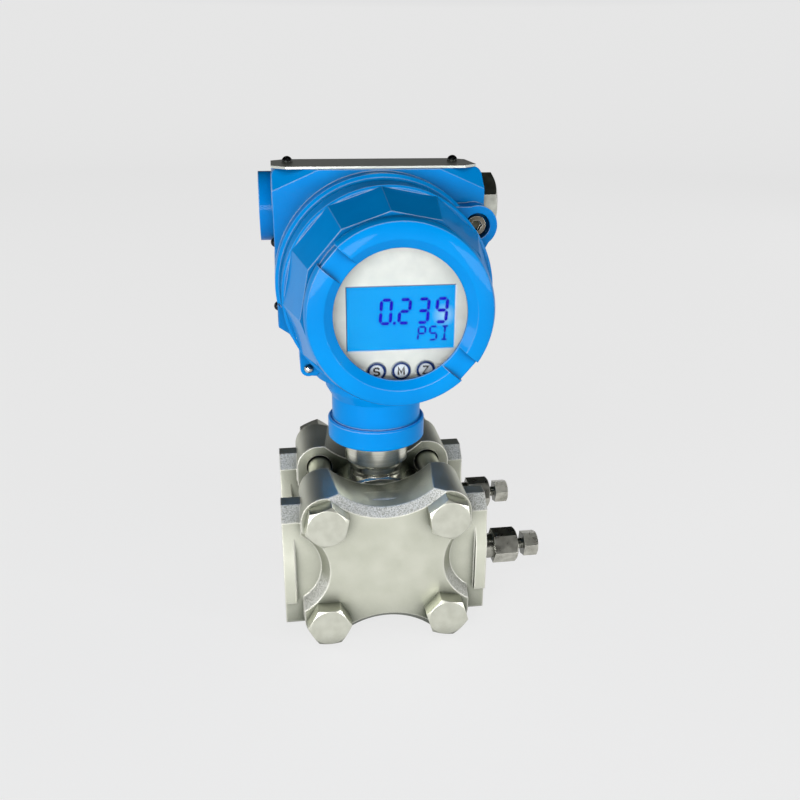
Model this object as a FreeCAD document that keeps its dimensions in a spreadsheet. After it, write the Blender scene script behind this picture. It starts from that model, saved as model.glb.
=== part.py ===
import FreeCAD, Part
import os
import re
import Sketcher
from FreeCAD import Placement, Rotation, Vector

# Differential pressure transmitter.
# Row frame: +Z up along the neck, -Y towards the display, -X out of the process ports.
# The origin is the centre of the four manifold holes, on the process face.
# Every piece is modelled about the neck axis (or the cover axis) and placed from the sheet.

os.makedirs("parts", exist_ok=True)
doc = FreeCAD.newDocument("transmitter")

DIMS = {
    # process flanges
    "neck_x": 46.5, "port_gauge": 54.0, "flange_thick": 29.6, "bolt_dx": 27.0, "bolt_dz": 25.5,
    "lobe_r": 11.0, "bolt_hole_r": 6.25, "scallop_r": 32.0, "scallop_z": 61.0, "bevel": 4.0,
    "scallop_draft": 2.4,
    "side_scallop_r": 19.5, "side_scallop_x": 49.0, "side_draft": 3.7, "side_draft_deep": 5.4,
    "bar_top": 28.6, "bar_low": 30.2, "bar_half_t": 9.4, "bar_slope_z": 6.2, "bar_slope_t": 5.9,
    "bar_edge": 1.0, "pad_half_t": 12.0, "pad_long": 5.2, "pad_low": 17.8, "pad_high": 5.6,
    "pad_slope_top": 14.5,
    "port_r": 5.65, "port_deep": 16.0, "passage_r": 3.0, "passage_x": 14.0,
    "manifold_pitch": 41.3, "manifold_hole_r": 4.95, "manifold_deep": 12.0, "vent_drop": 2.2,
    "recess_r": 21.0, "recess_deep": 2.5, "gasket_r": 26.5, "gasket_thick": 1.2,
    # flange bolts and nuts
    "bolt_r": 5.55, "hex_af": 17.5, "head_high": 7.1, "nut_high": 9.5, "thread_past": 2.7,
    # sensor cell
    "cell_r": 30.0, "cell_edge": 1.0, "diaphragm_r": 20.0, "diaphragm_thick": 0.4, "neck_low_r": 12.7,
    "neck_r": 15.0, "neck_groove_z": 35.3, "neck_groove_deep": 2.4, "stem_r": 12.0,
    "stem_top": 66.0, "running_gap": 0.05, "neck_ring_z": 60.0, "neck_ring_r": 0.9,
    # vent valves
    "seat_neck_r": 5.8, "seat_hex_x": 5.5, "seat_hex_long": 11.4, "seat_hex_af": 14.2,
    "vent_stem_r": 2.5, "vent_knob_x": 20.3, "vent_knob_long": 6.8, "vent_knob_af": 10.7,
    # housing
    "cover_z": 126.6, "barrel_r": 44.0, "barrel_half": 28.5, "barrel_edge": 1.4,
    "box_half_x": 43.5, "box_front": 18.0, "box_back": 20.0, "box_top": 44.6, "box_low": 19.3,
    "box_foot_x": 32.0, "box_foot_z": 28.6, "shoulder_r": 3.0,
    "facet_x": 19.0, "facet_z": 8.2, "facet_y": 9.0,
    "conduit_z": 27.9, "conduit_y": 3.0, "conduit_boss_r": 14.3, "conduit_boss_x": 49.0,
    "conduit_r": 9.25, "conduit_in_x": 16.0, "thread_bore_r": 37.58, "thread_deep": 14.5,
    "chamber_r": 34.5, "wall_front": 10.0, "wall_back": 7.0, "collar_r": 22.6,
    "collar_low": 47.9, "collar_high": 57.9, "neck_blue_r": 20.6, "flare_low": 69.0,
    "flare_r": 23.3, "flare_high": 74.0, "saddle_z": 79.0, "saddle_r": 28.3, "cable_r": 8.0,
    "lug_x": 38.5, "lug_z": 22.9, "lug_r": 8.3, "lug_bore_r": 5.2, "lug_bore_deep": 6.0,
    "lug_in": 12.0, "lug_up": 7.8, "lug_out": 8.2, "lug_drop": 10.7, "lug_root_drop": 14.0,
    "foot_lug_x": 31.8, "foot_lug_z": 35.2, "foot_lug_r": 3.4, "foot_web_top": 7.0, "foot_web_low": 16.8,
    "foot_web_back": 8.0, "foot_web_in": 20.0,
    # covers
    "rim_r": 41.7, "rim_gap": 0.5, "rim_end": 46.0, "facet_front": 70.0, "facet_rim_r": 41.3,
    "facet_tip_r": 35.8, "facet_turn": 4.0, "waist_r": 33.0, "ring_r": 34.5, "ring_back": 72.5,
    "ring_front": 80.0, "ring_round": 3.0, "bezel_r": 27.6, "window_r": 24.3, "bezel_deep": 2.4,
    "lip_back": 76.8, "blank_in_r": 23.6, "bore_r": 30.2,
    "spigot_r": 37.5, "spigot_bore_r": 34.0, "spigot_end": 15.0,
    "seal_groove_in": 38.1, "seal_groove_out": 40.7, "seal_groove_deep": 2.15, "seal_r": 39.4,
    "seal_wire_r": 1.0, "slot_wide": 9.0, "slot_deep": 2.2, "slot_notch": 1.4, "slot_turn": 139.5,
    "rear_rim_end": 41.0, "rear_facet_end": 52.0, "rear_tip_r": 38.5, "rear_end": 57.0,
    "rear_face_r": 36.5, "rear_floor": 51.0,
    # window and display
    "gasket_wall": 0.4, "glass_r": 30.0, "glass_thick": 4.0, "snap_in_r": 28.7, "snap_out_r": 30.9,
    "snap_thick": 1.2, "snap_back": 71.2, "plate_r": 28.2, "plate_front": 71.6, "plate_thick": 1.0,
    "module_r": 28.0, "module_wall": 1.6, "module_face": 6.0, "module_back": 14.0, "module_flange_r": 33.4,
    "module_flange_thick": 2.0, "display_x": 1.0, "lcd_wide": 39.5, "lcd_high": 23.6,
    "lcd_z": -2.6, "lcd_sink": 0.25, "lcd_thick": 2.2, "key_pitch": 9.2, "key_z": -22.6,
    "key_r": 3.5, "key_gap": 0.25, "key_proud": 0.3, "key_long": 2.4, "key_well": 4.0,
    "board_r": 33.4, "board_thick": 1.6, "stud_r": 30.8, "small_head_r": 2.0,
    "small_head_high": 1.8, "small_shank_r": 1.25, "small_hole_deep": 5.5, "small_shank_long": 4.0,
    "boss_r": 3.0, "board_long": 8.5, "earth_long": 2.5,
    # terminals
    "block_half_x": 22.0, "block_deep": 13.0, "block_low": -12.0, "block_high": 12.0,
    "terminal_pitch": 10.5, "terminal_head_r": 3.0, "terminal_head_high": 2.2, "rib_thick": 1.6,
    "rib_high": 4.0, "ground_drop": 24.0,
    # plate, plug and small screws
    "tag_long": 85.0, "tag_wide": 34.5, "tag_thick": 1.0, "tag_x": -1.0, "tag_y": 1.5,
    "tag_corner": 6.0, "tag_screw_dx": 35.6, "tag_screw_y": 6.0, "tag_head_r": 2.3,
    "tag_head_high": 2.4, "plug_af": 23.0, "plug_head": 8.5, "plug_long": 14.0,
    "side_screw_top": 14.0, "side_screw_low": -13.6, "side_screw_y": -6.0,
    "side_head_r": 2.0, "side_head_high": 1.5,
    "lock_head_r": 3.9, "lock_head_high": 4.4, "lock_shank_r": 2.45, "lock_long": 9.0,
    "socket_af": 4.0, "socket_deep": 2.4, "grub_r": 2.5, "grub_long": 9.0,
}

sheet = doc.addObject("Spreadsheet::Sheet", "Dims")
for row, (alias, value) in enumerate(DIMS.items(), start=1):
    sheet.set("A%d" % row, alias)
    sheet.set("B%d" % row, str(value))
    sheet.setAlias("B%d" % row, alias)
doc.recompute()

FACING = {
    "+X": Rotation(Vector(0, 1, 0), 90), "-X": Rotation(Vector(0, 1, 0), -90),
    "+Y": Rotation(Vector(1, 0, 0), -90), "-Y": Rotation(Vector(1, 0, 0), 90),
    "+Z": Rotation(), "-Z": Rotation(Vector(1, 0, 0), 180),
}
nodes = []
AXIS = ("neck_x", 0, "cover_z")
STUD_TURNS = (90, 210, 330)
SLOT_TURNS = ("slot_turn", "(slot_turn + 180)")


def cells(text):
    """Turn bare dimension names in an expression into sheet references."""
    def reference(match):
        word = match.group(0)
        return "Dims." + word if word in DIMS else word
    return re.sub(r"[a-z]\w*", reference, str(text))


def bind(thing, prop, text):
    thing.setExpression(prop, cells(text))


def put(thing, at=(0, 0, 0), facing="+Z"):
    thing.Placement = Placement(Vector(), FACING[facing])
    for axis, text in zip("xyz", at):
        bind(thing, "Placement.Base." + axis, text)
    return thing


def shape(kind, name, at=(0, 0, 0), facing="+Z", **sizes):
    """A Part primitive with its sizes and place bound to the sheet."""
    thing = doc.addObject("Part::" + kind, name)
    for prop, text in sizes.items():
        bind(thing, prop, text)
    return put(thing, at, facing)


def join(name, pieces):
    fused = doc.addObject("Part::MultiFuse", name)
    fused.Shapes = pieces
    return fused


def cut(name, base, tool):
    result = doc.addObject("Part::Cut", name)
    result.Base = base
    result.Tool = tool
    return result


def common(name, pieces):
    result = doc.addObject("Part::MultiCommon", name)
    result.Shapes = pieces
    return result


def node(thing, label, at=("neck_x", 0, 0)):
    """Name a finished piece and place it in the row frame."""
    thing.Label = label
    for axis, text in zip("xyz", at):
        bind(thing, "Placement.Base." + axis, text)
    nodes.append(thing)
    return thing


def group(label, pieces, at=("neck_x", 0, 0)):
    compound = doc.addObject("Part::Compound", label + "_group")
    compound.Links = pieces
    return node(compound, label, at)


def new_body(name):
    return doc.addObject("PartDesign::Body", name)


def feature(body, kind, name, at=(0, 0, 0), facing="+Z", **sizes):
    """An additive or subtractive primitive at the end of a body's history."""
    thing = body.newObject("PartDesign::" + kind, name)
    for prop, text in sizes.items():
        bind(thing, prop, text)
    return put(thing, at, facing)


def sketch(body, role, name, lift="0"):
    """A sketch on one of the body's own origin planes, raised along its normal."""
    plane = next(item for item in body.Origin.OriginFeatures if item.Role == role)
    thing = body.newObject("Sketcher::SketchObject", name)
    thing.AttachmentSupport = [(plane, "")]
    thing.MapMode = "FlatFace"
    bind(thing, "AttachmentOffset.Base.z", lift)
    return thing


def value_of(text):
    """The number that an expression gives with the sheet's values."""
    return float(sheet.evalExpression(cells(text)))


def outline(thing, points):
    """Draw a closed outline whose corners are bound to the sheet."""
    values = [tuple(value_of(text) for text in point) for point in points]
    count = len(points)
    for index in range(count):
        start = Vector(*values[index], 0)
        end = Vector(*values[(index + 1) % count], 0)
        thing.addGeometry(Part.LineSegment(start, end))
    for index in range(count):
        thing.addConstraint(Sketcher.Constraint("Coincident", index, 2, (index + 1) % count, 1))
    for index, point in enumerate(points):
        for kind, text, value in zip(("DistanceX", "DistanceY"), point, values[index]):
            number = thing.addConstraint(Sketcher.Constraint(kind, -1, 1, index, 1, value))
            bind(thing, "Constraints[%d]" % number, text)
    return thing


def pad(body, name, drawing, long, midplane=False):
    thing = body.newObject("PartDesign::Pad", name)
    thing.Profile = drawing
    thing.Midplane = midplane
    bind(thing, "Length", long)
    return thing


def turned(body, name, drawing, axis, kind="Revolution"):
    thing = body.newObject("PartDesign::" + kind, name)
    thing.Profile = drawing
    thing.ReferenceAxis = (drawing, [axis])
    thing.Angle = 360
    return thing


def edges(thing, wanted):
    """Names of the edges of a feature's shape that pass a test."""
    found = enumerate(thing.Shape.Edges, start=1)
    return ["Edge%d" % number for number, edge in found if wanted(edge)]


def rounded(body, name, base, names, radius, kind="Fillet"):
    thing = body.newObject("PartDesign::" + kind, name)
    thing.Base = (base, names)
    bind(thing, "Radius" if kind == "Fillet" else "Size", radius)
    return thing


def ring_profile(body, name, half):
    """A turned outline in the XY plane: pairs of radius and distance along +Y."""
    return outline(sketch(body, "XY_Plane", name), half)


def process_flange(label, side):
    """Investment-cast flange: four bolt lobes, scallops, a cross bar with port pads, and its holes."""
    out = "-Y" if side < 0 else "+Y"
    body = new_body(label)
    inner = "(port_gauge - flange_thick) / 2"
    outer = "(port_gauge + flange_thick) / 2"
    low_y = "-" + outer if side < 0 else inner
    start = "%d * %s" % (side, inner)
    finish = "%d * %s" % (side, outer)
    middle = "%d * port_gauge / 2" % side
    block = feature(body, "AdditiveBox", "block",
                    ("-bolt_dx - lobe_r", low_y, "-bolt_dz - lobe_r"),
                    Length="2 * (bolt_dx + lobe_r)", Width="flange_thick", Height="2 * (bolt_dz + lobe_r)")
    doc.recompute()
    corners = edges(block, lambda edge: abs(edge.tangentAt(edge.FirstParameter).y) > 0.99)
    rounded(body, "lobes", block, corners, "lobe_r")
    for name, turn in (("top", 1), ("bottom", -1)):
        height = "%d * scallop_z" % turn
        feature(body, "SubtractiveCone", name + "_scallop", (0, start, height), out,
                Radius1="scallop_r + scallop_draft", Radius2="scallop_r", Height="flange_thick")
        feature(body, "SubtractiveCone", name + "_bevel", (0, "%s - %d * bevel" % (finish, side), height),
                out, Radius1="scallop_r", Radius2="scallop_r + bevel", Height="bevel")
    for name, turn in (("left", -1), ("right", 1)):
        across = "%d * side_scallop_x" % turn
        feature(body, "SubtractiveCylinder", name + "_scallop", (across, start, 0), out,
                Radius="side_scallop_r", Height="flange_thick")
        feature(body, "SubtractiveCone", name + "_draft",
                (across, "%s - %d * side_draft_deep" % (finish, side), 0), out,
                Radius1="side_scallop_r", Radius2="side_scallop_r + side_draft", Height="side_draft_deep")
    top_half = "(bar_half_t - bar_slope_t)"
    low_half = "(bar_half_t - bar_edge)"
    bar = outline(sketch(body, "YZ_Plane", "bar_section"), [
        (middle + " - bar_half_t", "bar_top - bar_slope_z"), (middle + " - " + top_half, "bar_top"),
        (middle + " + " + top_half, "bar_top"), (middle + " + bar_half_t", "bar_top - bar_slope_z"),
        (middle + " + bar_half_t", "bar_edge - bar_low"), (middle + " + " + low_half, "-bar_low"),
        (middle + " - " + low_half, "-bar_low"), (middle + " - bar_half_t", "bar_edge - bar_low")])
    pad(body, "bar", bar, "2 * neck_x", midplane=True)
    for name, lift in (("left", "-neck_x"), ("right", "neck_x - pad_long")):
        section = outline(sketch(body, "YZ_Plane", name + "_pad_section", lift), [
            (middle + " - pad_half_t", "-pad_low"), (middle + " + pad_half_t", "-pad_low"),
            (middle + " + pad_half_t", "pad_high"), (middle + " + bar_half_t", "pad_slope_top"),
            (middle + " - bar_half_t", "pad_slope_top"), (middle + " - pad_half_t", "pad_high")])
        pad(body, name + "_pad", section, "pad_long")
    feature(body, "SubtractiveCylinder", "gasket_step", (0, start, 0), out,
            Radius="gasket_r", Height="gasket_thick")
    feature(body, "SubtractiveCylinder", "recess", (0, start, 0), out,
            Radius="recess_r", Height="recess_deep")
    for across in (-1, 1):
        for up in (-1, 1):
            feature(body, "SubtractiveCylinder", "bolt_hole",
                    ("%d * bolt_dx" % across, start, "%d * bolt_dz" % up), out,
                    Radius="bolt_hole_r", Height="flange_thick")
    for name, turn, toward, height in (("port", -1, "+X", "0"), ("vent", 1, "-X", "-vent_drop")):
        feature(body, "SubtractiveCylinder", name, ("%d * neck_x" % turn, middle, height), toward,
                Radius="port_r", Height="port_deep")
        feature(body, "SubtractiveCylinder", name + "_passage",
                ("%d * neck_x" % turn, middle, height), toward,
                Radius="passage_r", Height="neck_x - passage_x + 4")
        feature(body, "SubtractiveCylinder", name + "_way_in",
                ("%d * passage_x" % turn, start, height), out,
                Radius="passage_r - 0.5", Height="flange_thick / 2 + 1")
    for up in (-1, 1):
        feature(body, "SubtractiveCylinder", "manifold_hole",
                ("-neck_x", middle, "%d * manifold_pitch / 2" % up), "+X",
                Radius="manifold_hole_r", Height="manifold_deep")
    return node(body, label)


def frustum(body, name, near, near_r, far, far_r):
    """Twelve-sided taper between two distances along -Y."""
    sections = []
    for end, lift, radius in (("near", near, near_r), ("far", far, far_r)):
        corners = []
        for step in range(12):
            angle = "(facet_turn + %d)" % (30 * step)
            corners.append(("%s * cos(%s)" % (radius, angle), "%s * sin(%s)" % (radius, angle)))
        sections.append(outline(sketch(body, "XZ_Plane", name + "_" + end, lift), corners))
    thing = body.newObject("PartDesign::AdditiveLoft", name)
    thing.Profile = sections[0]
    thing.Sections = [sections[1]]
    thing.Ruled = True
    return thing


def rim_cut(body, turn, inner_r, low_y, deep):
    """A straight cut of the slot's width across a cover's edge, from an inner radius outwards."""
    slot = body.newObject("PartDesign::SubtractiveBox", "rim_cut")
    bind(slot, "Length", "ring_r + 4 - " + inner_r)
    bind(slot, "Width", deep)
    bind(slot, "Height", "slot_wide")
    slot.Placement = Placement(Vector(), Rotation(Vector(0, 1, 0), -value_of(turn)))
    bind(slot, "Placement.Base.x", "%s * cos(%s) + slot_wide / 2 * sin(%s)" % (inner_r, turn, turn))
    bind(slot, "Placement.Base.y", low_y)
    bind(slot, "Placement.Base.z", "%s * sin(%s) - slot_wide / 2 * cos(%s)" % (inner_r, turn, turn))


def hex_bar(name, at, facing, across_flats, long, turn=0):
    """A hexagonal bar whose far end has its corners turned off at 30 degrees."""
    prism = shape("Prism", name + "_hex", Circumradius="%s / sqrt(3)" % across_flats, Height=long)
    prism.Polygon = 6
    prism.Placement = Placement(Vector(), Rotation(Vector(0, 0, 1), turn))
    tip = "0.485 * %s" % across_flats
    cone = shape("Cone", name + "_chamfer", Radius1="%s + 1.732 * %s" % (tip, long), Radius2=tip,
                 Height=long)
    return put(common(name, [prism, cone]), at, facing)


def tube(name, at, facing, outer_r, inner_r, long):
    outer = shape("Cylinder", name + "_outer", Radius=outer_r, Height=long)
    inner = shape("Cylinder", name + "_inner", Radius=inner_r, Height=long)
    return put(cut(name, outer, inner), at, facing)


def pan_screw(name, at, facing, head_r, head_high, shank_r, shank_long):
    """A domed head standing off its seat, with the shank behind it."""
    dome_r = "(%s * %s + %s * %s) / (2 * %s)" % (head_r, head_r, head_high, head_high, head_high)
    dome = shape("Sphere", name + "_dome", (0, 0, "%s - %s" % (head_high, dome_r)), Radius=dome_r)
    head = shape("Cylinder", name + "_head", Radius=head_r, Height=head_high)
    shank = shape("Cylinder", name + "_shank", (0, 0, "-(%s)" % shank_long),
                  Radius=shank_r, Height="%s + 0.2" % shank_long)
    return put(join(name, [common(name + "_cap", [head, dome]), shank]), at, facing)


def socket_screw(name, at, facing, head_r, head_high, shank_r, shank_long, socket, socket_deep):
    """A cap screw with a hexagon socket."""
    head = shape("Cylinder", name + "_head", Radius=head_r, Height=head_high)
    shank = shape("Cylinder", name + "_shank", (0, 0, "-(%s)" % shank_long),
                  Radius=shank_r, Height="%s + 0.2" % shank_long)
    hole = shape("Prism", name + "_socket", (0, 0, "%s - %s" % (head_high, socket_deep)),
                 Circumradius="%s / sqrt(3)" % socket, Height=socket_deep)
    hole.Polygon = 6
    return put(cut(name, join(name + "_solid", [head, shank]), hole), at, facing)


def fasten_flanges():
    outer = "(port_gauge + flange_thick) / 2"
    bolts = []
    nuts = []
    head_turns = {(-1, 1): 17, (1, 1): 38, (-1, -1): 0, (1, -1): 47}
    for (across, up), turn in head_turns.items():
        long = "(2 * %s + nut_high + thread_past)" % outer
        head = hex_bar("bolt_head", (0, 0, 0), "+Z", "hex_af", "head_high", turn)
        shank = shape("Cylinder", "bolt_shank", (0, 0, "-" + long), Radius="bolt_r",
                      Height=long + " + 1")
        bolts.append(put(join("flange_bolt", [head, shank]),
                         ("%d * bolt_dx" % across, "-" + outer, "%d * bolt_dz" % up), "-Y"))
        nut = hex_bar("nut_hex", (0, 0, 0), "+Z", "hex_af", "nut_high", turn + 20)
        hole = shape("Cylinder", "nut_hole", Radius="bolt_r + running_gap", Height="nut_high")
        nuts.append(put(cut("flange_nut", nut, hole),
                        ("%d * bolt_dx" % across, outer, "%d * bolt_dz" % up), "+Y"))
    group("flange_bolts", bolts)
    group("flange_nuts", nuts)


def sensor_cell():
    """Round measuring cell between the flanges, welded to the turned neck that carries the housing."""
    body = new_body("sensor_cell")
    inner = "(port_gauge - flange_thick) / 2"
    feature(body, "AdditiveCylinder", "cell", (0, "cell_edge - " + inner, 0), "+Y",
            Radius="cell_r", Height="2 * %s - 2 * cell_edge" % inner)
    for name, facing, sign in (("front", "-Y", -1), ("rear", "+Y", 1)):
        feature(body, "AdditiveCone", name + "_cell_edge", (0, "%d * (%s - cell_edge)" % (sign, inner), 0),
                facing, Radius1="cell_r", Radius2="cell_r - cell_edge", Height="cell_edge")
    half = [("0", "cell_r / 2"), ("neck_low_r - 1", "cell_r / 2"), ("neck_low_r - 1", "cell_r + 0.4"),
            ("neck_low_r", "cell_r + 1.4"), ("neck_low_r", "neck_groove_z - neck_groove_deep / 2"),
            ("neck_r", "neck_groove_z + neck_groove_deep / 2"),
            ("neck_r", "collar_low - 1"), ("neck_r - 0.7", "collar_low - 0.3"),
            ("stem_r", "collar_low - 0.3"),
            ("stem_r", "neck_ring_z - 1.2"), ("stem_r - 1.9", "neck_ring_z - 1.2"),
            ("stem_r - 1.9", "neck_ring_z + 1.2"), ("stem_r", "neck_ring_z + 1.2"),
            ("stem_r", "stem_top - 1"), ("stem_r - 1", "stem_top"), ("0", "stem_top")]
    turned(body, "neck", outline(sketch(body, "XZ_Plane", "neck_section"), half), "V_Axis")
    node(body, "sensor_cell")


def flange_seals():
    inner = "(port_gauge - flange_thick) / 2"
    for name, facing, sign in (("front", "-Y", "-"), ("rear", "+Y", "")):
        place = ("neck_x", sign + inner, 0)
        node(tube(name + "_flange_gasket", place, facing, "gasket_r - 0.1", "recess_r + 0.6",
                  "gasket_thick"), name + "_flange_gasket", place)
        node(shape("Cylinder", name + "_diaphragm_disc", place, facing, Radius="diaphragm_r",
                   Height="diaphragm_thick"), name + "_diaphragm", place)
    node(shape("Torus", "neck_wire", Radius1="stem_r - 0.95", Radius2="neck_ring_r"),
         "neck_o_ring", ("neck_x", 0, "neck_ring_z"))


def vent_valve(name, sign):
    """Valve seat screwed into the flange end, and the screw that opens it."""
    thread = shape("Cylinder", name + "_seat_thread", ("3 - port_deep", 0, 0), "+X",
                   Radius="port_r - running_gap", Height="port_deep - 3")
    throat = shape("Cylinder", name + "_seat_neck", (0, 0, 0), "+X",
                   Radius="seat_neck_r", Height="seat_hex_x + 1")
    hexagon = hex_bar(name + "_seat_body", ("seat_hex_x", 0, 0), "+X", "seat_hex_af",
                      "seat_hex_long", 30)
    way = shape("Cylinder", name + "_seat_way", ("3 - port_deep", 0, 0), "+X",
                Radius="vent_stem_r + running_gap", Height="port_deep + seat_hex_x + seat_hex_long")
    seat = cut(name + "_seat", join(name + "_seat_solid", [thread, throat, hexagon]), way)
    stem = shape("Cylinder", name + "_stem", (0, 0, 0), "+X",
                 Radius="vent_stem_r", Height="vent_knob_x + 1")
    point = shape("Cone", name + "_point", (-3, 0, 0), "+X", Radius1="0.4",
                  Radius2="vent_stem_r", Height="3")
    knob = hex_bar(name + "_knob", ("vent_knob_x", 0, 0), "+X", "vent_knob_af", "vent_knob_long", 12)
    screw = join(name + "_screw", [stem, point, knob])
    place = ("2 * neck_x", sign + "port_gauge / 2", "-vent_drop")
    node(seat, name + "_vent_seat", place)
    node(screw, name + "_vent_screw", place)


def housing():
    """Painted casting: conduit block, two threaded chambers back to back, and the neck below."""
    body = new_body("housing_casting")
    block = outline(sketch(body, "XZ_Plane", "block_section", "-box_back"), [
        ("-box_half_x", "box_top"), ("box_half_x", "box_top"), ("box_half_x", "-box_low"),
        ("box_foot_x", "-box_foot_z"), ("-box_foot_x", "-box_foot_z"), ("-box_half_x", "-box_low")])
    conduit_block = pad(body, "conduit_block", block, "box_front + box_back")
    doc.recompute()
    shoulders = edges(conduit_block, lambda edge: abs(edge.tangentAt(edge.FirstParameter).y) > 0.99
                      and edge.CenterOfMass.z > value_of("box_top") - 0.1)
    rounded(body, "block_shoulders", conduit_block, shoulders, "shoulder_r")
    facet_normal = Vector(value_of("facet_y * facet_z"), -value_of("facet_x * facet_z"),
                          value_of("facet_x * facet_y"))
    for turn in (-1, 1):
        facet = feature(body, "SubtractiveCylinder", "corner_facet",
                        ("%d * (box_half_x - facet_x / 2)" % turn, "facet_y / 2 - box_front", "box_top"),
                        Radius="facet_x", Height="facet_x")
        toward = Vector(turn * facet_normal.x, facet_normal.y, facet_normal.z)
        facet.Placement.Rotation = Rotation(Vector(0, 0, 1), toward)
    feature(body, "AdditiveCylinder", "barrel", (0, "barrel_edge - barrel_half", 0), "+Y",
            Radius="barrel_r", Height="2 * (barrel_half - barrel_edge)")
    for name, sign, facing in (("front", "-", "-Y"), ("rear", "", "+Y")):
        feature(body, "AdditiveCone", name + "_edge", (0, sign + "(barrel_half - barrel_edge)", 0), facing,
                Radius1="barrel_r", Radius2="barrel_r - barrel_edge", Height="barrel_edge")
    feature(body, "AdditiveCylinder", "conduit_boss", ("-conduit_boss_x", "conduit_y", "conduit_z"),
            "+X", Radius="conduit_boss_r", Height="conduit_boss_x")
    lug = outline(sketch(body, "XZ_Plane", "lug_section", "box_front"), [
        ("lug_x - lug_in", "lug_z + lug_up"), ("lug_x + lug_out / 3", "lug_z + lug_up"),
        ("lug_x + lug_out", "lug_z - 1"), ("lug_x + lug_out / 3", "lug_z - lug_drop"),
        ("lug_x - lug_r", "lug_z - lug_root_drop")])
    pad(body, "lug_web", lug, "barrel_half - box_front")
    feature(body, "AdditiveCylinder", "lug_eye", ("lug_x", "-box_front", "lug_z"), "-Y",
            Radius="lug_r", Height="barrel_half - box_front")
    left = "0.2 - box_half_x"
    eye_left = "-foot_lug_x - foot_lug_r"
    foot = outline(sketch(body, "XZ_Plane", "foot_section", "box_front - foot_web_back"), [
        (left, "-foot_web_top"), (left, "-foot_web_low"), (eye_left + " - 2.1", "-foot_web_low - 4.2"),
        (eye_left, "-foot_web_low - 8.8"), (eye_left, "-foot_lug_z"),
        ("1 - foot_lug_x", "-foot_lug_z - foot_lug_r + 0.2"),
        ("foot_lug_r - foot_lug_x", "-foot_lug_z - foot_lug_r"), ("-foot_web_in", "-box_foot_z - 1.4")])
    pad(body, "foot_web", foot, "barrel_half - box_front + foot_web_back")
    feature(body, "AdditiveCylinder", "foot_eye",
            ("-foot_lug_x", "foot_web_back - box_front", "-foot_lug_z"), "-Y",
            Radius="foot_lug_r", Height="barrel_half - box_front + foot_web_back")
    neck = [("0", "collar_low - cover_z"), ("collar_r - 0.8", "collar_low - cover_z"),
            ("collar_r", "collar_low + 0.8 - cover_z"), ("collar_r", "collar_high - 0.8 - cover_z"),
            ("collar_r - 0.8", "collar_high - cover_z"), ("neck_blue_r", "collar_high - cover_z"),
            ("neck_blue_r", "flare_low - cover_z"), ("flare_r", "flare_high - cover_z"),
            ("flare_r", "saddle_z - cover_z"), ("saddle_r", "saddle_z + 1 - cover_z"),
            ("saddle_r", "3 - box_foot_z"), ("0", "3 - box_foot_z")]
    turned(body, "neck", outline(sketch(body, "XZ_Plane", "neck_section"), neck), "V_Axis")
    for name, sign, facing, deep in (("front", "-", "+Y", "barrel_half - wall_front"),
                                     ("rear", "", "-Y", "barrel_half + wall_back")):
        mouth = (0, sign + "barrel_half", 0)
        feature(body, "SubtractiveCylinder", name + "_thread_bore", mouth, facing,
                Radius="thread_bore_r", Height="thread_deep")
        feature(body, "SubtractiveCylinder", name + "_chamber", mouth, facing,
                Radius="chamber_r", Height=deep)
    for turn in STUD_TURNS:
        feature(body, "AdditiveCylinder", "board_boss", stud_place(turn, "-wall_front"), "-Y",
                Radius="boss_r", Height="module_back - board_thick - wall_front")
    feature(body, "SubtractiveCylinder", "stem_bore", (0, 0, "collar_low - cover_z"), "+Z",
            Radius="stem_r + running_gap", Height="stem_top + 2 - collar_low")
    feature(body, "SubtractiveCylinder", "cable_way", (0, 0, "stem_top - cover_z"), "+Z",
            Radius="cable_r", Height="cover_z - stem_top - chamber_r + 4")
    feature(body, "SubtractiveCylinder", "left_conduit", ("-conduit_boss_x", "conduit_y", "conduit_z"),
            "+X", Radius="conduit_r", Height="conduit_boss_x - conduit_in_x")
    feature(body, "SubtractiveCylinder", "right_conduit", ("box_half_x", "conduit_y", "conduit_z"),
            "-X", Radius="conduit_r", Height="box_half_x - conduit_in_x")
    feature(body, "SubtractiveCylinder", "lug_counterbore", ("lug_x", "-barrel_half", "lug_z"), "+Y",
            Radius="lug_bore_r", Height="lug_bore_deep")
    feature(body, "SubtractiveCylinder", "lug_hole", ("lug_x", "-barrel_half", "lug_z"), "+Y",
            Radius="lock_shank_r + running_gap", Height="lug_bore_deep + lock_long")
    small_holes = [(("-box_half_x", "side_screw_y", height), "+X")
                   for height in ("side_screw_top", "side_screw_low")]
    small_holes += [(("tag_x + %d * tag_screw_dx" % across, "tag_screw_y", "box_top"), "-Z")
                    for across in (-1, 1)]
    small_holes += [(stud_place(turn, "board_thick - module_back"), "+Y") for turn in STUD_TURNS]
    small_holes += [(("-foot_lug_x", "-barrel_half", "-foot_lug_z"), "+Y"),
                    (("0", "-wall_back", "-ground_drop"), "-Y")]
    for place, facing in small_holes:
        feature(body, "SubtractiveCylinder", "screw_hole", place, facing,
                Radius="small_shank_r + running_gap", Height="small_hole_deep")
    feature(body, "SubtractiveCylinder", "grub_hole",
            (0, "collar_r", "(collar_low + collar_high) / 2 - cover_z"), "-Y",
            Radius="grub_r + running_gap", Height="collar_r - stem_r + 1")
    node(body, "housing_casting", AXIS)


def stud_place(turn, y):
    return ("stud_r * cos(%d)" % turn, y, "stud_r * sin(%d)" % turn)


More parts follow.
